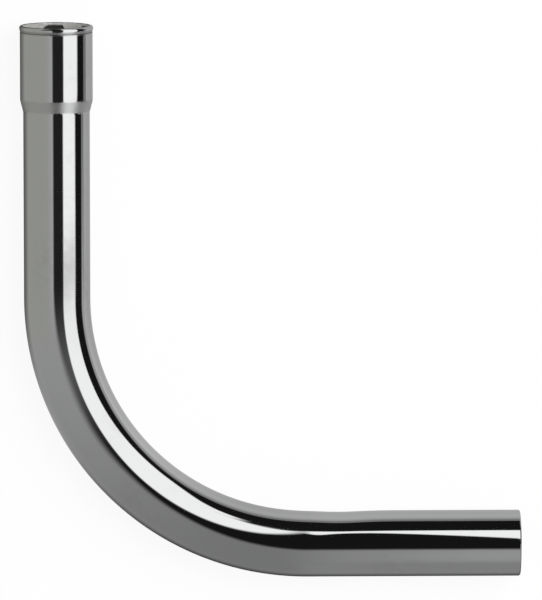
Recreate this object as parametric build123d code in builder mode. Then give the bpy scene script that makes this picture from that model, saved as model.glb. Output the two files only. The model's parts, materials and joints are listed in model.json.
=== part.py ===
from build123d import *
from math import atan2, tan
import os

# Flush pipe bend: one drawn tube with an expanded socket, a quarter bend and a plain spigot.
# The bend lies in the XY plane, and the centre of the socket mouth is the origin.
# The socket opens towards +Y, and the spigot ends towards +X.
# All lengths are in millimetres.

# Tube
tube_diameter = 28.0
tube_wall = 1.0
bend_radius = 105.5  # of the centre line

# Reach of each leg, from its open end to the axis of the other leg
socket_reach = 221.0
spigot_reach = 196.0

# Socket, expanded from the tube so that it takes a second tube of the same diameter
socket_clearance = 0.3  # on the radius
socket_depth = 31.5  # from the mouth to the corner of the shoulder
shoulder_length = 5.0
shoulder_blend = 4.0  # the smaller radius at each corner of the shoulder

# Rim around the socket mouth, with a fine quirk line under it
rim_height = 3.3
rim_proud = 0.25
rim_land = 0.5  # the straight band at the widest part of the rim
rim_blend = 0.8  # radius between that band and the flare under it
rim_round_share = 0.75  # of the wall at the rim, on the outer corner of the mouth
lip_bevel_share = 0.2  # of the wall at the rim, on the inner corner of the mouth
quirk_height = 0.25
quirk_depth = 0.12

# Cut end of the spigot
spigot_bevel_share = 0.5  # of the tube wall, on the outer corner
deburr_share = 0.2  # of the tube wall, on the inner corner

# Radii of the tube, the socket and the rim
tube_radius = tube_diameter / 2
bore_radius = tube_radius - tube_wall
socket_bore_radius = tube_radius + socket_clearance
socket_radius = socket_bore_radius + tube_wall
rim_radius = socket_radius + rim_proud
rim_wall = rim_radius - socket_bore_radius
rim_round = rim_round_share * rim_wall
lip_bevel = lip_bevel_share * rim_wall

# Places along the two legs
bend_start = socket_reach - bend_radius
spigot_run = spigot_reach - bend_radius
shoulder_end = socket_depth + shoulder_length
rim_crown = rim_round + rim_land

# The shoulder keeps the tube's wall, so its inner corners lie further from the mouth than its outer ones
shoulder_slope = atan2(socket_radius - tube_radius, shoulder_length)
corner_shift = tube_wall * tan(shoulder_slope / 2)

# Wall of the socket leg as (radius, place along the axis, rounding), up the outside and down the inside
socket_wall = [
    (tube_radius, -bend_start, 0),
    (tube_radius, -shoulder_end, shoulder_blend),
    (socket_radius, -socket_depth, shoulder_blend + tube_wall),
    (socket_radius, -rim_height - quirk_height, 0),
    (socket_radius - quirk_depth, -rim_height, 0),
    (rim_radius, -rim_crown, rim_blend),
    (rim_radius, 0, rim_round),
    (socket_bore_radius + lip_bevel, 0, 0),
    (socket_bore_radius, -lip_bevel, 0),
    (socket_bore_radius, -socket_depth - corner_shift, shoulder_blend),
    (bore_radius, -shoulder_end - corner_shift, shoulder_blend + tube_wall),
    (bore_radius, -bend_start, 0),
]

with BuildPart() as flush_pipe_bend:
    # Straight socket leg, with its shoulder and rim, turned about the Y axis
    with BuildSketch(Plane.XY):
        with BuildLine():
            FilletPolyline(
                *[(radius, place) for radius, place, rounding in socket_wall],
                radius=[rounding for radius, place, rounding in socket_wall],
                close=True,
            )
        make_face()
    revolve(axis=Axis.Y)

    # Quarter bend: the ring section of the tube, turned about the centre of the bend
    with BuildSketch(Plane(origin=(0, -bend_start, 0), z_dir=(0, -1, 0))):
        Circle(tube_radius)
        Circle(bore_radius, mode=Mode.SUBTRACT)
    bend_axis = Axis((bend_radius, -bend_start, 0), (0, 0, 1))
    revolve(axis=bend_axis, revolution_arc=90)

    # Straight spigot leg, drawn out from the end of the bend
    bend_end = flush_pipe_bend.faces().sort_by(Axis.X)[-1]
    extrude(bend_end, amount=spigot_run)

    # Cut end of the spigot, bevelled outside and deburred inside
    spigot_end = flush_pipe_bend.faces().sort_by(Axis.X)[-1]
    bore_edge, outer_edge = spigot_end.edges().sort_by(SortBy.RADIUS)
    chamfer(outer_edge, length=spigot_bevel_share * tube_wall)
    chamfer(bore_edge, length=deburr_share * tube_wall)

flush_pipe_bend.part.label = "flush_pipe_bend"

os.makedirs("parts", exist_ok=True)
export_step(flush_pipe_bend.part, "parts/flush_pipe_bend.step")
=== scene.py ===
"""Flush pipe bend: the chromed tube's surface and finish, and the small studio that it is shown in."""

import json
import math

import bpy
import numpy as np
from bpy.props import FloatProperty, FloatVectorProperty, IntProperty, PointerProperty
from mathutils import Matrix, Vector


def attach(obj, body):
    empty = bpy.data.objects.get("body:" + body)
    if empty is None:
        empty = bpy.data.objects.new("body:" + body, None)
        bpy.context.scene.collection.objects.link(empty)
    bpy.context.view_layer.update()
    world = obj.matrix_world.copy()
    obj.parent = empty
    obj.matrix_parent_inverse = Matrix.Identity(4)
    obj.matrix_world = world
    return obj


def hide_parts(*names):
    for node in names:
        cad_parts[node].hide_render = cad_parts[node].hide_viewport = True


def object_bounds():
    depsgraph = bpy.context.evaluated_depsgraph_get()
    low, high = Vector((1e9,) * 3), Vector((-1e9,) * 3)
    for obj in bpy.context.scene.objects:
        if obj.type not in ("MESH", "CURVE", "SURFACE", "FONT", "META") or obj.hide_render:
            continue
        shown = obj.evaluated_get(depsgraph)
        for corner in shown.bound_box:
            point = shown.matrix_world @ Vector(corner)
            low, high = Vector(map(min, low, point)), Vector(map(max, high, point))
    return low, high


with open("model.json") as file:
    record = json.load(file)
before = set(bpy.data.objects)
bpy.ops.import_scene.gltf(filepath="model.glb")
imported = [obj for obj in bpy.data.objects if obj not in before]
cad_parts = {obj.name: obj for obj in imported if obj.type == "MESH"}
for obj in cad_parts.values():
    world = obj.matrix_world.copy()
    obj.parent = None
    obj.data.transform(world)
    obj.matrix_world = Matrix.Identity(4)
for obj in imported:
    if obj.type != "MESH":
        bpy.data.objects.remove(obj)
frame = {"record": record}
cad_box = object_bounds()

bl_info = {
    "name": "Flush pipe bend",
    "version": (1, 0, 0),
    "blender": (4, 5, 0),
    "location": "3D View > Sidebar > Flush bend",
    "description": "Makes the chromed tube of a flush pipe bend, and a studio to show it in",
    "category": "Object",
}

NODE = "flush_pipe_bend"
MM = 0.001
QUARTER = math.pi / 2
CAD_LOW, CAD_HIGH = cad_box
MOUNTS = {mount["name"]: mount for mount in frame["record"]["mounts"]}


def mount_radius(name):
    """Radius of one of the part's mounts, in metres."""
    return MOUNTS[name]["dims"]["r_mm"] * MM


def mount_end(name, axis):
    """Place where a mount's wall ends, along one of the part's axes, in metres."""
    mount = MOUNTS[name]
    return mount["pos_m"][axis] - mount["axis"][axis] * mount["dims"]["length_mm"] * MM


def length(name, description, default):
    """A length that a user can set, in metres."""
    return FloatProperty(name=name, description=description, default=default, unit="LENGTH", precision=5)


def angle(name, description, degrees):
    """An angle that a user can set, from its default in degrees."""
    return FloatProperty(name=name, description=description, default=math.radians(degrees), subtype="ANGLE")


def colour(name, description, default):
    """A colour that a user can set."""
    return FloatVectorProperty(name=name, description=description, default=default, subtype="COLOR", min=0, max=1)


class TubeSizes(bpy.types.PropertyGroup):
    """Sizes of the tube's wall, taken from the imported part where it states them."""

    tube_radius: length("Tube radius", "Outside of the plain tube", mount_radius("spigot"))
    bore_radius: length("Bore radius", "Inside of the plain tube", mount_radius("outlet_bore"))
    socket_bore: length("Socket bore", "Inside radius of the socket", mount_radius("socket"))
    rim_radius: length("Rim radius", "Widest part of the rim", -CAD_LOW.x)
    bend_start: length("Bend start", "From the mouth to the start of the bend", -mount_end("inlet_bore", 1))
    socket_reach: length("Socket reach", "From the mouth to the spigot's axis", -MOUNTS["spigot"]["pos_m"][1])
    spigot_reach: length("Spigot reach", "From the cut end to the socket's axis", CAD_HIGH.x)
    socket_depth: length("Socket depth", "From the mouth to the corner of the shoulder", 31.5 * MM)
    shoulder_length: length("Shoulder length", "Between the corners of the shoulder", 5 * MM)
    shoulder_blend: length("Shoulder blend", "Smaller radius at the shoulder's corners", 4 * MM)
    # The solid has its quirk line 3.3 mm from the mouth. Here it lies where the photo shows the line.
    rim_height: length("Rim height", "From the mouth to the quirk line", 2.55 * MM)
    rim_crown: length("Rim crown", "From the mouth to the widest part of the rim", 1.4 * MM)
    rim_round: length("Rim round", "Radius on the outer corner of the mouth", 0.9 * MM)
    quirk_depth: length("Quirk depth", "Depth of the fine line under the rim", 0.12 * MM)
    quirk_height: length("Quirk height", "Height of the fine line under the rim", 0.25 * MM)
    bevel: length("End bevel", "Outer bevel on the cut end", 0.5 * MM)
    deburr: length("Deburr", "Inner bevels on both ends", 0.2 * MM)
    edge_round: length("Edge round", "Radius left on the small edges", 0.06 * MM)
    press_mark: length("Press mark", "Depth of the dip that the bending tool leaves", 0.6 * MM)
    press_place: length("Press mark place", "From the end of the bend to the dip", 13.5 * MM)
    press_width: length("Press mark width", "Spread of the dip along the tube", 12 * MM)
    row_gap: length("Row gap", "Longest step of the mesh along the tube", 1.8 * MM)
    around: IntProperty(name="Around", description="Faces around the tube", default=168, min=24)


class PlateFinish(bpy.types.PropertyGroup):
    """Colours and polish of the plating."""

    plate: colour("Plate", "Polished plating", (0.55, 0.556, 0.554))
    shoulder_satin: colour("Shoulder satin", "Less polished plating on the shoulder", (0.50, 0.505, 0.503))
    rim_satin: colour("Rim satin", "Less polished plating under the rim's crown", (0.40, 0.404, 0.402))
    # Quirk film: painted shade, a near-black colour in the fine line under the rim, where shade falls.
    quirk_painted_shade: colour("Quirk film", "Dark film in the fine line under the rim", (0.06, 0.06, 0.058))
    plate_worn: colour("Hazed plate", "Plating where hands and water left a haze", (0.50, 0.505, 0.50))
    # Bore plate: partly thin plating, partly a painted highlight that lightens the band just inside the ends.
    bore_plate_and_highlight: colour("Bore plate", "Thin plating just inside the ends", (0.74, 0.735, 0.72))
    # Bore stain: mostly painted shade, a near-black band just inside the ends; the haze also uses it as random dark
    # dirt.
    bore_shade_and_stain: colour("Bore stain", "Stain where the bore's plating ends", (0.04, 0.039, 0.037))
    bore_metal: colour("Bore metal", "Drawn metal deep in the bore", (0.27, 0.25, 0.21))
    polish: FloatProperty(name="Polish", description="Roughness of the polished plating", default=0.035)
    satin_rough: FloatProperty(name="Satin roughness", description="Roughness of the worked bands", default=0.36)
    bore_rough: FloatProperty(name="Bore roughness", description="Roughness of the drawn bore", default=0.42)


class StudioLook(bpy.types.PropertyGroup):
    """Camera, floor and light sheets of the studio."""

    floor: colour("Floor", "Pale floor", (0.86, 0.86, 0.86))
    sheet_height: length("Sheet height", "Light sheet above the tube's axis", 60 * MM)
    panel_light: FloatProperty(name="Panel light", description="Level of the lit panels", default=1.53)
    dark_level: FloatProperty(name="Dark level", description="Level of the black flags", default=0.012)
    lens: FloatProperty(name="Lens", description="Focal length in millimetres", default=450)
    yaw: angle("Yaw", "Turn of the camera about the part's Y axis", -1.5)
    pitch: angle("Pitch", "Tilt of the camera towards the socket", 7.5)
    distance: length("Distance", "From the camera to its target", 3.169)
    target: FloatVectorProperty(
        name="Target",
        description="Point at the middle of the picture",
        default=(0.0903, -0.1167, 0),
        subtype="XYZ",
        unit="LENGTH",
    )


# Surfaces


def smooth(value):
    """0 below 0, 1 above 1, and an S-shaped curve between."""
    value = np.clip(value, 0, 1)
    return value * value * (3 - 2 * value)


def rise(value, start, width):
    """0 up to the start, and then an S-shaped rise to 1 over the width."""
    return smooth((value - start) / width)


def fall(value, end, width):
    """1 at first, and then an S-shaped fall over the width, to 0 from the end on."""
    return smooth((end - value) / width)


def bell(value, middle, width):
    """A bell-shaped bump: exp(-((value - middle) / width)^2)."""
    return np.exp(-(((value - middle) / width) ** 2))


def blend(first, second, share):
    """The first value at share 0, the second at share 1, and a straight mix between."""
    return first + (second - first) * share


def rounded(corners, radii, steps):
    """Outline with each corner of a closed polygon turned into an arc of its own radius.

    The arc's centre lies on the corner's bisector. Its points go from one tangent point to the other,
    at equal steps of the turn. All corners are worked out together, as arrays of corner by step.
    """
    before = np.roll(corners, 1, axis=0) - corners
    after = np.roll(corners, -1, axis=0) - corners
    before = before / np.linalg.norm(before, axis=1, keepdims=True)
    after = after / np.linalg.norm(after, axis=1, keepdims=True)
    half = np.arccos(np.clip(np.sum(before * after, axis=1), -1, 1)) / 2
    bisector = before + after
    bisector = bisector / np.linalg.norm(bisector, axis=1, keepdims=True)
    centre = corners + bisector * (radii / np.sin(half))[:, None]
    side = before - bisector * np.sum(before * bisector, axis=1, keepdims=True)
    side = side / np.linalg.norm(side, axis=1, keepdims=True)
    turn = (QUARTER - half)[:, None] * np.linspace(1, -1, steps)
    arc = np.sin(turn)[..., None] * side[:, None] - np.cos(turn)[..., None] * bisector[:, None]
    return (centre[:, None] + radii[:, None, None] * arc).reshape(-1, 2)


def refined(outline, gap):
    """The same closed outline, with points added so that no step is longer than the gap."""
    closed = np.vstack([outline, outline[:1]])
    walked = np.concatenate([[0], np.cumsum(np.linalg.norm(np.diff(closed, axis=0), axis=1))])
    extra = np.arange(0, walked[-1], gap)
    nearest = np.min(np.abs(extra[:, None] - walked[None]), axis=1)
    places = np.sort(np.concatenate([walked[:-1], extra[nearest > gap / 4]]))
    return np.stack([np.interp(places, walked, closed[:, k]) for k in range(2)], axis=1)


def wall_section(sizes):
    """Section of the tube's wall as (distance from the mouth along the centre line, radius), closed.

    It goes down the outside from the mouth to the cut end, and back up the inside.
    """
    s = sizes
    wall = s.tube_radius - s.bore_radius
    socket = s.socket_bore + wall
    end = s.bend_start + (s.socket_reach - s.bend_start) * QUARTER
    end = end + s.spigot_reach - (s.socket_reach - s.bend_start)
    slope = math.atan2(socket - s.tube_radius, s.shoulder_length)
    shift = wall * math.tan(slope / 2)
    shoulder = s.socket_depth + s.shoulder_length
    edge = s.edge_round
    corners = [
        (0, s.socket_bore + s.deburr, edge),
        (0, s.rim_radius, s.rim_round),
        (s.rim_crown, s.rim_radius, 8 * edge),
        (s.rim_height, socket - s.quirk_depth, edge),
        (s.rim_height + s.quirk_height, socket, edge),
        (s.socket_depth, socket, s.shoulder_blend + wall),
        (shoulder, s.tube_radius, s.shoulder_blend),
        (end - s.bevel, s.tube_radius, 2 * edge),
        (end, s.tube_radius - s.bevel, edge),
        (end, s.bore_radius + s.deburr, edge),
        (end - s.deburr, s.bore_radius, edge),
        (shoulder + shift, s.bore_radius, s.shoulder_blend + wall),
        (s.socket_depth + shift, s.socket_bore, s.shoulder_blend),
        (s.deburr, s.socket_bore, edge),
    ]
    corners = np.array(corners)
    return refined(rounded(corners[:, :2], corners[:, 2], 7), s.row_gap), end


def centre_line(along, sizes):
    """Points of the centre line, and the direction towards the inside of the bend, at distances from the mouth.

    The line runs down the Y axis, round a quarter circle and out along X.
    """
    radius = sizes.socket_reach - sizes.bend_start
    turn = np.clip((along - sizes.bend_start) / radius, 0, QUARTER)
    straight = np.minimum(along, sizes.bend_start)
    out = np.maximum(along - sizes.bend_start - radius * QUARTER, 0)
    x = radius * (1 - np.cos(turn)) + out
    y = -straight - radius * np.sin(turn)
    line = np.stack([x, y, np.zeros_like(x)], axis=-1)
    inward = np.stack([np.cos(turn), np.sin(turn), np.zeros_like(x)], axis=-1)
    return line, inward


def press_marks(along, angle, sizes):
    """Small change of radius where the bending tool let go, on the inside of the bend.

    A bell-shaped dip along the tube, weighted by the square of the sine of the angle on the inner
    side, and nothing on the outer side.
    """
    end = sizes.bend_start + (sizes.socket_reach - sizes.bend_start) * QUARTER
    dip = -sizes.press_mark * bell(along, end + sizes.press_place, sizes.press_width)
    return dip * np.maximum(np.sin(angle), 0) ** 2


def tube_grid(sizes):
    """Points of the tube: the wall's section carried along the centre line and turned about it.

    point = line(along) + radius * (sin(angle) * inward + cos(angle) * Z), on a grid of section by angle.
    """
    section, end = wall_section(sizes)
    angle = np.linspace(0, 2 * math.pi, sizes.around, endpoint=False)
    along = np.broadcast_to(section[:, :1], (len(section), sizes.around))
    angle = np.broadcast_to(angle, along.shape)
    line, inward = centre_line(along, sizes)
    radius = section[:, 1:] + press_marks(along, angle, sizes)
    across = np.sin(angle)[..., None] * inward + np.cos(angle)[..., None] * np.array((0, 0, 1.0))
    return line + radius[..., None] * across, section, end


def grid_faces(rows, columns):
    """Corner numbers of the quads of a grid that closes on itself both ways."""
    row, column = np.meshgrid(np.arange(rows), np.arange(columns), indexing="ij")
    next_row, next_column = (row + 1) % rows, (column + 1) % columns
    quads = [row * columns + column, next_row * columns + column]
    quads += [next_row * columns + next_column, row * columns + next_column]
    return np.stack(quads, axis=-1).reshape(-1, 4)


def new_mesh(name, points, quads):
    """A mesh object at the origin, from arrays of points and of quad corners."""
    mesh = bpy.data.meshes.new(name)
    mesh.vertices.add(len(points))
    mesh.vertices.foreach_set("co", points.astype(np.float32).ravel())
    mesh.loops.add(quads.size)
    mesh.loops.foreach_set("vertex_index", quads.astype(np.int32).ravel())
    mesh.polygons.add(len(quads))
    mesh.polygons.foreach_set("loop_start", np.arange(0, quads.size, 4, dtype=np.int32))
    mesh.update(calc_edges=True)
    mesh.validate()
    piece = bpy.data.objects.new(name, mesh)
    bpy.context.scene.collection.objects.link(piece)
    return piece


def set_layer(mesh, name, values):
    """A float on each point of a mesh, from a grid of values."""
    layer = mesh.attributes.new(name, "FLOAT", "POINT")
    layer.data.foreach_set("value", values.astype(np.float32).ravel())


def depth_with_painted_patches(points, depth, sizes):
    """Distance from the nearest end, lessened where the light band of painted highlight in the socket's bore
    reaches deeper.

    It reaches deeper all round the mouth, as a painted highlight, but for two places of painted shade, which are
    told by how far across the mouth a point lies, as a share of the socket's radius.
    """
    deeper = 3 * MM
    across = points[..., 0] / sizes.socket_bore
    # Painted shade: two places across the mouth where the near-black band stays near the lip; elsewhere the painted
    # highlight reaches deeper.
    painted_shade_places = rise(across, -0.55, 0.35) * fall(across, 0.30, 0.12) + rise(across, 0.66, 0.12)
    on_socket_leg = points[..., 1] > -sizes.bend_start
    return depth[:, None] - deeper * (1 - painted_shade_places) * on_socket_leg


def tube_uv(section, sizes):
    """Corner UVs in metres: U along the section, V around the plain tube. They run on past the seams."""
    steps = np.linalg.norm(np.diff(np.vstack([section, section[:1]]), axis=0), axis=1)
    u = np.concatenate([[0], np.cumsum(steps)])
    v = np.linspace(0, 2 * math.pi * sizes.tube_radius, sizes.around + 1)
    low_u, low_v = np.meshgrid(u[:-1], v[:-1], indexing="ij")
    high_u, high_v = np.meshgrid(u[1:], v[1:], indexing="ij")
    corners_u = np.stack([low_u, high_u, high_u, low_u], axis=-1)
    corners_v = np.stack([low_v, low_v, high_v, high_v], axis=-1)
    return np.stack([corners_u, corners_v], axis=-1)


# Finishes


class NodeMaker:
    """Adds nodes to one tree and links them, so that each finish reads as a list of steps."""

    def __init__(self, tree):
        self.tree = tree

    def add(self, kind, links=None, **settings):
        """A node with its properties or socket defaults set, and its inputs linked to other outputs."""
        node = self.tree.nodes.new(kind)
        for key, value in settings.items():
            if hasattr(node, key):
                setattr(node, key, value)
            else:
                node.inputs[key.replace("_", " ")].default_value = value
        for key, output in (links or {}).items():
            self.tree.links.new(output, node.inputs[key])
        return node

    def math(self, operation, first, second=None):
        """A Math node on outputs or plain numbers."""
        node = self.tree.nodes.new("ShaderNodeMath")
        node.operation = operation
        for socket, value in zip(node.inputs, (first, second)):
            if isinstance(value, bpy.types.NodeSocket):
                self.tree.links.new(value, socket)
            elif value is not None:
                socket.default_value = value
        return node.outputs[0]

    def spread(self, value, low, high, to_low=0.0, to_high=1.0):
        """A value mapped smoothly from one range to another."""
        node = self.add("ShaderNodeMapRange", {"Value": value}, interpolation_type="SMOOTHSTEP")
        for key, number in (("From Min", low), ("From Max", high), ("To Min", to_low), ("To Max", to_high)):
            node.inputs[key].default_value = number
        return node.outputs["Result"]

    def band(self, value, start, end, soft):
        """1 between two values and 0 outside them, with soft ends."""
        begun = self.spread(value, start - soft, start + soft)
        not_ended = self.spread(value, end + soft, end - soft)
        return self.math("MULTIPLY", begun, not_ended)

    def weighted(self, *terms):
        """Sum of outputs, each times its own weight."""
        total = None
        for output, weight in terms:
            part = self.math("MULTIPLY", output, weight)
            total = part if total is None else self.math("ADD", total, part)
        return total

    def mix(self, share, first, second):
        """A colour between two colours or outputs."""
        node = self.add("ShaderNodeMix", {"Factor": share}, data_type="RGBA")
        for socket, value in ((node.inputs[6], first), (node.inputs[7], second)):
            if isinstance(value, bpy.types.NodeSocket):
                self.tree.links.new(value, socket)
            else:
                socket.default_value = (*value, 1)
        return node.outputs[2]


def new_group(name, inputs, outputs):
    """An empty shader node group with named float sockets, and a vector for its coordinates."""
    group = bpy.data.node_groups.new(name, "ShaderNodeTree")
    group.interface.new_socket(name="Place", in_out="INPUT", socket_type="NodeSocketVector")
    for name, default in inputs.items():
        socket = group.interface.new_socket(name=name, in_out="INPUT", socket_type="NodeSocketFloat")
        socket.default_value = default
    for name in outputs:
        group.interface.new_socket(name=name, in_out="OUTPUT", socket_type="NodeSocketFloat")
    make = NodeMaker(group)
    return group, make, make.add("NodeGroupInput"), make.add("NodeGroupOutput")


def draw_lines_group():
    """Fine lines that run along a drawn tube: noise squeezed around the tube and stretched along it."""
    group, make, given, out = new_group("draw_lines", {"Fineness": 3000.0, "Stretch": 0.01}, ["Lines"])
    apart = make.add("ShaderNodeSeparateXYZ", {"Vector": given.outputs["Place"]})
    along = make.math("MULTIPLY", apart.outputs["X"], given.outputs["Stretch"])
    place = make.add("ShaderNodeCombineXYZ", {"X": along, "Y": apart.outputs["Y"]})
    links = {"Vector": place.outputs[0], "Scale": given.outputs["Fineness"]}
    noise = make.add("ShaderNodeTexNoise", links, Detail=3.0)
    make.tree.links.new(noise.outputs["Fac"], out.inputs["Lines"])
    return group


def haze_group():
    """Haze left by hands and dried water: two sizes of cloudy noise, kept where both are high."""
    group, make, given, out = new_group("haze", {"Size": 40.0}, ["Haze"])
    place, size = given.outputs["Place"], given.outputs["Size"]
    fine_size = make.math("MULTIPLY", size, 9.0)
    large = make.add("ShaderNodeTexNoise", {"Vector": place, "Scale": size}, Detail=4.0)
    fine = make.add("ShaderNodeTexNoise", {"Vector": place, "Scale": fine_size}, Detail=3.0)
    clouds = make.spread(large.outputs["Fac"], 0.45, 0.75)
    grain = make.spread(fine.outputs["Fac"], 0.3, 0.7)
    make.tree.links.new(make.math("MULTIPLY", clouds, grain), out.inputs["Haze"])
    return group


def new_finish(name):
    """A material with only a Principled shader, and a maker for its other nodes."""
    finish = bpy.data.materials.new(name)
    finish.use_nodes = True
    return finish, NodeMaker(finish.node_tree), finish.node_tree.nodes["Principled BSDF"]


def place_group(make, group, place, **values):
    """A node group set in a material, with its own values."""
    node = make.add("ShaderNodeGroup", node_tree=group)
    make.tree.links.new(place, node.inputs["Place"])
    for key, value in values.items():
        node.inputs[key].default_value = value
    return node


def chrome_finish(look, sizes, groups):
    """Polished chrome plate: a clear mirror with a light haze, faint draw lines, ripples and a few pits.

    The worked bands under the rim's crown and on the shoulder are satin, and the quirk line is painted dark as
    painted shade.
    """
    soft, film_soft = 0.5 * MM, 0.15 * MM
    shoulder_share = 0.88
    pit_rim, pit_floor, pit_rarity = 0.09, 0.03, 0.9
    pit_tint = (0.16, 0.16, 0.155)
    finish, make, shader = new_finish("chrome_plate")
    shader.inputs["Metallic"].default_value = 1.0
    uv = make.add("ShaderNodeUVMap", uv_map="tube").outputs[0]
    place = make.add("ShaderNodeTexCoord").outputs["Object"]
    along = make.add("ShaderNodeAttribute", attribute_name="along").outputs["Fac"]
    haze = place_group(make, groups["haze"], place, Size=34.0).outputs["Haze"]
    lines = place_group(make, groups["draw_lines"], uv, Fineness=2600.0, Stretch=0.012).outputs["Lines"]
    cells = make.add("ShaderNodeTexVoronoi", {"Vector": place}, Scale=95.0)
    chosen = make.add("ShaderNodeSeparateColor", {"Color": cells.outputs["Color"]})
    pit = make.spread(cells.outputs["Distance"], pit_rim, pit_floor)
    pit = make.math("MULTIPLY", pit, make.math("GREATER_THAN", chosen.outputs[0], pit_rarity))
    rim = make.spread(along, sizes.rim_crown, sizes.rim_crown + soft)
    rim = make.math("MULTIPLY", rim, make.spread(along, sizes.rim_height + 2 * soft, sizes.rim_height))
    shoulder_end = sizes.socket_depth + shoulder_share * sizes.shoulder_length
    shoulder = make.band(along, sizes.socket_depth - soft, shoulder_end, soft)
    quirk = make.band(along, sizes.rim_height, sizes.rim_height + sizes.quirk_height, film_soft)
    tint = make.mix(haze, look.plate, look.plate_worn)
    tint = make.mix(shoulder, tint, look.shoulder_satin)
    tint = make.mix(rim, tint, look.rim_satin)
    # Painted shade: the quirk line's colour is pulled towards the near-black quirk colour.
    tint = make.mix(make.math("MULTIPLY", quirk, 0.85), tint, look.quirk_painted_shade)
    tint = make.mix(make.math("MULTIPLY", pit, 0.4), tint, pit_tint)
    make.tree.links.new(tint, shader.inputs["Base Color"])
    satin = make.math("ADD", rim, shoulder)
    rough = make.weighted((haze, 0.05), (lines, 0.02), (satin, look.satin_rough), (pit, 0.2))
    make.tree.links.new(make.math("ADD", rough, look.polish), shader.inputs["Roughness"])
    ripple = make.add("ShaderNodeTexNoise", {"Vector": place}, Scale=70.0, Detail=1.5).outputs["Fac"]
    height = make.weighted((ripple, 1.0), (lines, 0.012), (pit, -0.2))
    bump = make.add("ShaderNodeBump", {"Height": height}, Strength=1.0, Distance=0.03 * MM)
    make.tree.links.new(bump.outputs[0], shader.inputs["Normal"])
    return finish


def bore_finish(look, groups):
    """Inside of the tube: dull drawn metal; a light band at both ends, partly thin plating and partly a painted
    highlight; and a near-black band where it ends, which is painted shade; haze darkens it at random.
    """
    # Depths from the end where the near-black band of painted shade begins and is full.
    shade_start, shade_full = 0.7 * MM, 1.5 * MM
    metal_start, metal_full = 4 * MM, 14 * MM
    raggedness = 0.5 * MM
    finish, make, shader = new_finish("drawn_bore")
    shader.inputs["Metallic"].default_value = 0.4
    uv = make.add("ShaderNodeUVMap", uv_map="tube").outputs[0]
    place = make.add("ShaderNodeTexCoord").outputs["Object"]
    depth = make.add("ShaderNodeAttribute", attribute_name="depth").outputs["Fac"]
    haze = place_group(make, groups["haze"], place, Size=60.0).outputs["Haze"]
    lines = place_group(make, groups["draw_lines"], uv, Fineness=1500.0, Stretch=0.02).outputs["Lines"]
    ragged = make.weighted((depth, 1.0), (haze, raggedness))
    # Painted highlight and painted shade: a light band at the ends, then a near-black band of painted shade.
    tint = make.mix(make.spread(ragged, shade_start, shade_full), look.bore_plate_and_highlight, look.bore_shade_and_stain)
    tint = make.mix(make.spread(ragged, metal_start, metal_full), tint, look.bore_metal)
    # Random haze darkens the bore towards the same dark colour.
    tint = make.mix(make.math("MULTIPLY", haze, 0.5), tint, look.bore_shade_and_stain)
    make.tree.links.new(tint, shader.inputs["Base Color"])
    rough = make.math("ADD", make.math("MULTIPLY", lines, 0.12), look.bore_rough)
    make.tree.links.new(rough, shader.inputs["Roughness"])
    bump = make.add("ShaderNodeBump", {"Height": lines}, Strength=0.6, Distance=0.02 * MM)
    make.tree.links.new(bump.outputs[0], shader.inputs["Normal"])
    return finish


class FLUSH_OT_tube(bpy.types.Operator):
    """Make the chromed tube, with its socket, rim, bend and cut end, in place of the plain solid"""

    bl_idname = "flush.tube"
    bl_label = "Make tube"

    def execute(self, context):
        sizes, look = context.scene.flush_sizes, context.scene.flush_finish
        points, section, end = tube_grid(sizes)
        rows, columns = points.shape[:2]
        tube = new_mesh("chromed_tube", points.reshape(-1, 3), grid_faces(rows, columns))
        mesh = tube.data
        mesh.shade_smooth()
        uv = mesh.uv_layers.new(name="tube")
        uv.uv.foreach_set("vector", tube_uv(section, sizes).astype(np.float32).ravel())
        depth = np.minimum(section[:, 0], end - section[:, 0])
        set_layer(mesh, "depth", depth_with_painted_patches(points, depth, sizes))
        set_layer(mesh, "along", np.repeat(section[:, :1], columns, axis=1))
        groups = {"draw_lines": draw_lines_group(), "haze": haze_group()}
        mesh.materials.append(chrome_finish(look, sizes, groups))
        mesh.materials.append(bore_finish(look, groups))
        turned_back = np.arange(rows) > np.argmax(section[:, 0])
        inside = turned_back & (depth > 1.5 * sizes.deburr)
        mesh.polygons.foreach_set("material_index", np.repeat(inside, columns).astype(np.int32))
        mesh.update()
        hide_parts(NODE)
        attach(tube, "root")
        return {"FINISHED"}


# Studio


def round_the_bend(x, y):
    """Turn around the bend in degrees, and distance outwards from the tube's centre line, over the whole plane.

    Both are taken from the bend's centre. The quarter of the plane that lies past it both ways has half the turn.
    """
    half_turn, tiny = 45, 1e-9
    sizes = bpy.context.scene.flush_sizes
    radius = sizes.socket_reach - sizes.bend_start
    left = np.maximum(radius - x, 0)
    below = np.maximum(-sizes.bend_start - y, 0)
    turn = np.degrees(np.arctan2(below, np.maximum(left, tiny)))
    return np.where((left == 0) & (below == 0), half_turn, turn), np.hypot(left, below) - radius


def surround_level(x, y):
    """Grey surround: lightest beside the socket leg, darkest below the bend, lighter again below the spigot leg."""
    plain, darkest = 0.485, 0.30
    near_socket, below_spigot = 0.14, 0.06
    turn, out = round_the_bend(x, y)
    close = np.exp(-np.maximum(out - 12 * MM, 0) / (9 * MM)) * fall(turn, 12, 12)
    level = blend(plain + near_socket * close, darkest, rise(turn, 5, 75))
    return level + below_spigot * rise(x, 85 * MM, 40 * MM) * rise(turn, 60, 30)


def spigot_glow(x, y):
    """Extra light above the outer side of the spigot leg: a soft ridge beside it, stronger towards the cut end."""
    strongest = 0.14
    turn, out = round_the_bend(x, y)
    ridge = bell(out, 40 * MM, 55 * MM)
    return strongest * ridge * rise(x, 90 * MM, 110 * MM) * rise(turn, 60, 30)


def warm_share(x, y):
    """Share of the warm tint, which lies on the surround beside the socket leg."""
    turn, out = round_the_bend(x, y)
    return fall(turn, 16, 8) * rise(out, 20 * MM, 30 * MM)


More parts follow.
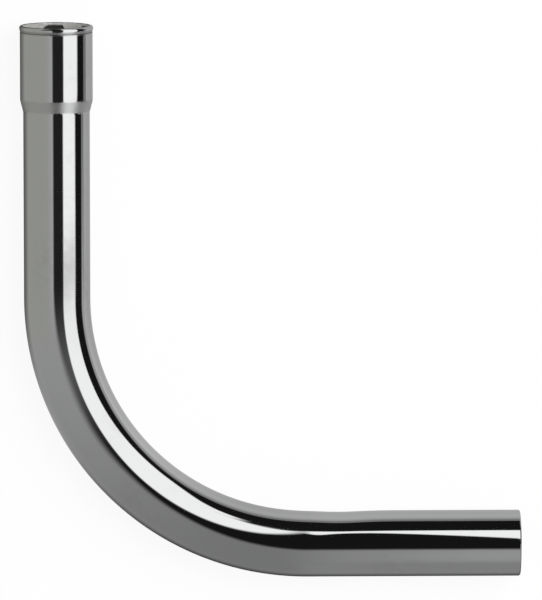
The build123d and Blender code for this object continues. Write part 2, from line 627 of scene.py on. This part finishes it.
def panel_inside(x, y):
    """How far a point lies inside the large lit panel.

    The panel is a straight band beside the socket leg, closed below by half of a leaning ellipse that
    ends in a tip on the right.
    """
    left, right, tip = 21.5 * MM, 104.5 * MM, 107.5 * MM
    low_y, high_y = -140 * MM, 150 * MM
    middle, half = (left + tip) / 2, (tip - left) / 2
    depth, lean = 54 * MM, -0.27
    band = np.minimum(np.minimum(x - left, right - x), high_y - y)
    drop = y - low_y - lean * (x - middle)
    ellipse = (1 - np.hypot((x - middle) / half, drop / depth)) * half
    return np.where(drop < 0, ellipse, band)


def panel_level(y):
    """Light level of the large panel, a little lower around the start of the bend."""
    dip, dip_y, dip_width = 0.28, -111 * MM, 14 * MM
    return bpy.context.scene.flush_studio.panel_light * (1 - dip * bell(y, dip_y, dip_width))


def strip_inside(x, y):
    """How far a point lies inside the lit strip beside the spigot leg.

    The strip is a wedge that widens towards the cut end. Near its start the upper edge has a small hump
    and the lower edge a deeper sag.
    """
    start, end = 108.5 * MM, 235 * MM
    hump, sag, slope = 6 * MM, 20 * MM, -0.5
    top = -148.7 * MM + hump * bell(x, 124 * MM, 8 * MM)
    bottom = -165.3 * MM + slope * (x - 137 * MM) - sag * bell(x, 112 * MM, 7.5 * MM)
    across = np.minimum(top - y, y - bottom)
    return np.minimum(across, np.minimum(x - start, end - x))


def sheet_level(x, y):
    """Light level of the sheet above the tube.

    A grey surround, a black band that follows the tube and widens past the socket's mouth, a black
    field inside the bend, and in that field a large lit panel and a lit strip.
    """
    studio = bpy.context.scene.flush_studio
    turn, out = round_the_bend(x, y)
    turns = (0, 12, 24, 36, 48, 60, 72, 90)
    edge = np.interp(turn, turns, (11.8, 8, 6, 7, 3, 4.3, 7.5, 11.5)) * MM
    edge_soft = np.interp(turn, turns, (3, 8, 14, 14, 10, 7, 6, 5)) * MM
    past_mouth = 48 * MM
    edge = edge + past_mouth * rise(y, 4 * MM, 12 * MM)
    bend_lift = 0.12
    dark = studio.dark_level + bend_lift * bell(turn, 20, 13) * rise(out, -40 * MM, 20 * MM)
    level = blend(dark, surround_level(x, y) + spigot_glow(x, y), rise(out, edge - edge_soft, 2 * edge_soft))
    soft = 2.5 * MM
    level = blend(level, panel_level(y), rise(panel_inside(x, y), -soft, 2 * soft))
    return blend(level, studio.panel_light, rise(strip_inside(x, y), -soft, 2 * soft))


def ground_level(x, y):
    """Light level of the ground around the tube.

    It has the grey surround outside the bend, is paler inside it, and is dim near the tube. Inside, it
    falls off towards the middle of the bend, and beyond the cut end.
    """
    turn, out = round_the_bend(x, y)
    inside = rise(-out, 0, 20 * MM)
    inner = 0.60 + 0.18 * bell(turn, 45, 24)
    inner = inner * (1 - 0.75 * rise(-out, 75 * MM, 40 * MM))
    beside_spigot = 0.70 - 0.42 * rise(y, -200 * MM, 170 * MM)
    inner = blend(inner, beside_spigot, rise(x, 80 * MM, 35 * MM))
    inner = inner * (1 - 0.9 * rise(x, 215 * MM, 80 * MM))
    near = 1 - rise(np.abs(out), 10 * MM, 50 * MM)
    inner_dim = 0.2
    outer_dim = 0.95 * (1 - bell(turn, 28, 18))
    outer = surround_level(x, y) * (1 - outer_dim * near)
    return blend(outer, inner * (1 - inner_dim * near), inside)


def level_finish():
    """Plain light of the level and the warmth that each point of a sheet carries."""
    neutral, warm = (1, 1, 1), (0.99, 1, 0.93)
    finish = bpy.data.materials.new("sheet_light")
    finish.use_nodes = True
    make = NodeMaker(finish.node_tree)
    finish.node_tree.nodes.remove(finish.node_tree.nodes["Principled BSDF"])
    level = make.add("ShaderNodeAttribute", attribute_name="level").outputs["Fac"]
    warmth = make.add("ShaderNodeAttribute", attribute_name="warmth").outputs["Fac"]
    tint = make.mix(warmth, neutral, warm)
    light = make.add("ShaderNodeEmission", {"Strength": level, "Color": tint})
    out = finish.node_tree.nodes["Material Output"]
    make.tree.links.new(light.outputs[0], out.inputs["Surface"])
    finish.cycles.emission_sampling = "NONE"
    return finish


def spaced(low, middle, high, count):
    """Places from low to high, close together near the middle and wider apart towards the ends.

    place = middle + reach * sinh(rate * t) / sinh(rate), with t in equal steps from -1 to 1, kept within
    low and high. The rate sets how much closer the middle places lie.
    """
    closeness = 6 / (1 * MM)
    reach = max(middle - low, high - middle)
    rate = math.asinh(reach * closeness / count)
    places = middle + reach * np.sinh(np.linspace(-1, 1, count) * rate) / math.sinh(rate)
    return np.clip(places, low, high)


def reflected_surface(name, x, y, z, level, finish):
    """A surface that is seen only in reflections, from grids of its points and of their light level."""
    rows, columns = x.shape
    row, column = np.meshgrid(np.arange(rows - 1), np.arange(columns - 1), indexing="ij")
    first = row * columns + column
    quads = np.stack([first, first + columns, first + columns + 1, first + 1], axis=-1).reshape(-1, 4)
    sheet = new_mesh(name, np.stack([x, y, z], axis=-1).reshape(-1, 3), quads)
    for key, values in (("level", level), ("warmth", warm_share(x, y))):
        set_layer(sheet.data, key, values)
    sheet.data.materials.append(finish)
    sheet.visible_camera = False
    sheet.visible_diffuse = False
    sheet.visible_shadow = False
    sheet.visible_transmission = False


def light_sheet(name, height, level_at, finish, skirt_to=None):
    """A level sheet seen only in reflections, on a grid of X by Y, with an upright skirt to the given height."""
    rows = 420
    x = spaced(-0.32, 0.06, 0.64, rows)
    y = spaced(-0.56, -0.14, 0.33, rows)
    x, y = np.meshgrid(x, y, indexing="ij")
    z = np.full_like(x, height)
    if skirt_to is not None:
        z[0] = z[-1] = skirt_to
        z[:, 0] = z[:, -1] = skirt_to
    reflected_surface(name, x, y, z, level_at(x, y), finish)


def light_fence(finish):
    """An upright lit fence inside the bend, seen only in reflections, that widens the panel for the tube.

    It follows the tube at an even distance: straight down beside the socket leg, then round the bend's
    centre. It reaches from a lower edge, deepest two thirds of the way round, to an even top, and its
    light fades out downwards.
    """
    sizes = bpy.context.scene.flush_sizes
    radius = sizes.socket_reach - sizes.bend_start
    apart, past_mouth, top = 65.5 * MM, 60 * MM, 48 * MM
    first_degree, last_degree, end_fade = 0.5, 82, 5
    deepest_at, dip = 61.5, 17 * MM
    rest = radius - apart
    straight = np.linspace(-past_mouth, sizes.bend_start, 90)
    round_it = sizes.bend_start + rest * np.radians(np.linspace(first_degree, last_degree, 160))
    along = np.concatenate([straight, round_it])
    turn = np.maximum(along - sizes.bend_start, 0) / rest
    degrees = np.degrees(turn)
    x = radius - rest * np.cos(turn)
    y = -np.minimum(along, sizes.bend_start) - rest * np.sin(turn)
    bent = rise(degrees, 0, 20)
    edge = (36.5 + 1.5 * bent - 2.5 * fall(along, 40 * MM, 8 * MM)) * MM
    edge = edge - dip * bell(degrees, deepest_at, np.where(degrees < deepest_at, 19, 9))
    soft = (4.5 - 2 * bent) * MM
    low = (edge - soft)[:, None]
    z = low + (top - low) * np.linspace(0, 1, 40)
    level = panel_level(y)[:, None] * rise(z, low, 2 * soft[:, None])
    level = level * fall(degrees, last_degree, end_fade)[:, None]
    x, y = np.broadcast_to(x[:, None], z.shape), np.broadcast_to(y[:, None], z.shape)
    reflected_surface("inner_fence", x, y, z, level, finish)


def seen_directly(make):
    """1 for camera, glossy and transmission rays, and 0 for the light that falls on things."""
    path = make.add("ShaderNodeLightPath")
    seen = make.math("MAXIMUM", path.outputs["Is Camera Ray"], path.outputs["Is Glossy Ray"])
    return make.math("MAXIMUM", seen, path.outputs["Is Transmission Ray"])


def floor_finish(look, white_share=0.92):
    """Pale floor that takes the shadow, and is lifted to white where it is seen."""
    finish, make, shader = new_finish("pale_floor")
    place = make.add("ShaderNodeTexCoord").outputs["Object"]
    noise = make.add("ShaderNodeTexNoise", {"Vector": place}, Scale=3.0, Detail=2.0).outputs["Fac"]
    darker = tuple(0.98 * part for part in look.floor)
    tint = make.mix(noise, look.floor, darker)
    make.tree.links.new(tint, shader.inputs["Base Color"])
    shader.inputs["Roughness"].default_value = 1.0
    shader.inputs["Specular IOR Level"].default_value = 0.0
    white = make.add("ShaderNodeEmission", Strength=1.0)
    share = make.math("MULTIPLY", seen_directly(make), white_share)
    both = make.add("ShaderNodeMixShader", {0: share, 1: shader.outputs[0], 2: white.outputs[0]})
    make.tree.links.new(both.outputs[0], finish.node_tree.nodes["Material Output"].inputs["Surface"])
    return finish


def add_floor(look):
    """A large level floor that the rim rests on."""
    half = 12.0
    corners = np.array([(-half, -half), (half, -half), (half, half), (-half, half)])
    points = np.column_stack([corners, np.full(4, CAD_LOW.z)])
    floor = new_mesh("floor", points, np.array([[0, 1, 2, 3]]))
    floor.data.materials.append(floor_finish(look))


def add_world(fill=0.45):
    """White surroundings where they are seen, and a soft even fill light."""
    world = bpy.data.worlds.new("studio")
    world.use_nodes = True
    bpy.context.scene.world = world
    make = NodeMaker(world.node_tree)
    background = world.node_tree.nodes["Background"]
    background.inputs["Color"].default_value = (1, 1, 1, 1)
    seen = seen_directly(make)
    strength = make.math("ADD", fill, make.math("MULTIPLY", seen, 1 - fill))
    make.tree.links.new(strength, background.inputs["Strength"])


def add_lamp(name, place, aim, size, watts):
    """A square soft lamp."""
    light = bpy.data.lights.new(name, "AREA")
    light.shape = "SQUARE"
    light.size = size
    light.energy = watts
    lamp = bpy.data.objects.new(name, light)
    lamp.location = place
    lamp.rotation_mode = "QUATERNION"
    lamp.rotation_quaternion = (Vector(aim) - Vector(place)).to_track_quat("-Z", "Y")
    lamp.visible_glossy = False
    bpy.context.scene.collection.objects.link(lamp)


def add_camera(look):
    """Camera above the part, turned and tilted a little, with the part's Y axis upwards in the picture."""
    level = math.cos(look.pitch)
    back = Vector((math.sin(look.yaw) * level, math.sin(look.pitch), math.cos(look.yaw) * level))
    right = Vector((0, 1, 0)).cross(back).normalized()
    up = back.cross(right)
    camera = bpy.data.objects.new("camera", bpy.data.cameras.new("camera"))
    camera.data.lens = look.lens
    camera.data.clip_end = 100
    place = Vector(look.target) + look.distance * back
    camera.matrix_world = Matrix.Translation(place) @ Matrix((right, up, back)).transposed().to_4x4()
    bpy.context.scene.collection.objects.link(camera)
    bpy.context.scene.camera = camera


class FLUSH_OT_studio(bpy.types.Operator):
    """Set out the floor, the light sheets, the lamps, the surroundings and the camera"""

    bl_idname = "flush.studio"
    bl_label = "Set studio"

    def execute(self, context):
        look = context.scene.flush_studio
        context.scene.view_settings.view_transform = "Standard"
        add_floor(look)
        light = level_finish()
        ground = CAD_LOW.z + 0.1 * MM
        light_sheet("upper_sheet", look.sheet_height, sheet_level, light, skirt_to=ground)
        light_sheet("ground_sheet", ground, ground_level, light)
        light_fence(light)
        add_world()
        middle = (CAD_LOW + CAD_HIGH) / 2
        add_lamp("key_lamp", middle + Vector((0.7, 0.5, 1.5)), middle, size=1.2, watts=28)
        add_camera(look)
        return {"FINISHED"}


class FLUSH_PT_panel(bpy.types.Panel):
    """Sizes, finish and studio of the flush pipe bend"""

    bl_idname = "FLUSH_PT_panel"
    bl_label = "Flush pipe bend"
    bl_space_type = "VIEW_3D"
    bl_region_type = "UI"
    bl_category = "Flush bend"

    def draw(self, context):
        scene = context.scene
        for title, group, operator in PANEL_ROWS:
            box = self.layout.box()
            box.label(text=title)
            settings = getattr(scene, group)
            for name in settings.__annotations__:
                box.prop(settings, name)
            if operator:
                box.operator(operator)


PANEL_ROWS = (
    ("Tube", "flush_sizes", FLUSH_OT_tube.bl_idname),
    ("Finish", "flush_finish", None),
    ("Studio", "flush_studio", FLUSH_OT_studio.bl_idname),
)
SETTINGS = {"flush_sizes": TubeSizes, "flush_finish": PlateFinish, "flush_studio": StudioLook}
CLASSES = (*SETTINGS.values(), FLUSH_OT_tube, FLUSH_OT_studio, FLUSH_PT_panel)


def register():
    """Make the settings, the operators and the panel known to Blender."""
    for each in CLASSES:
        bpy.utils.register_class(each)
    for name, group in SETTINGS.items():
        setattr(bpy.types.Scene, name, PointerProperty(type=group))


def unregister():
    """Take them away again."""
    for name in SETTINGS:
        delattr(bpy.types.Scene, name)
    for each in reversed(CLASSES):
        bpy.utils.unregister_class(each)


def main():
    """Make the tube and the studio."""
    register()
    bpy.ops.flush.tube()
    bpy.ops.flush.studio()


if __name__ == "__main__":
    main()
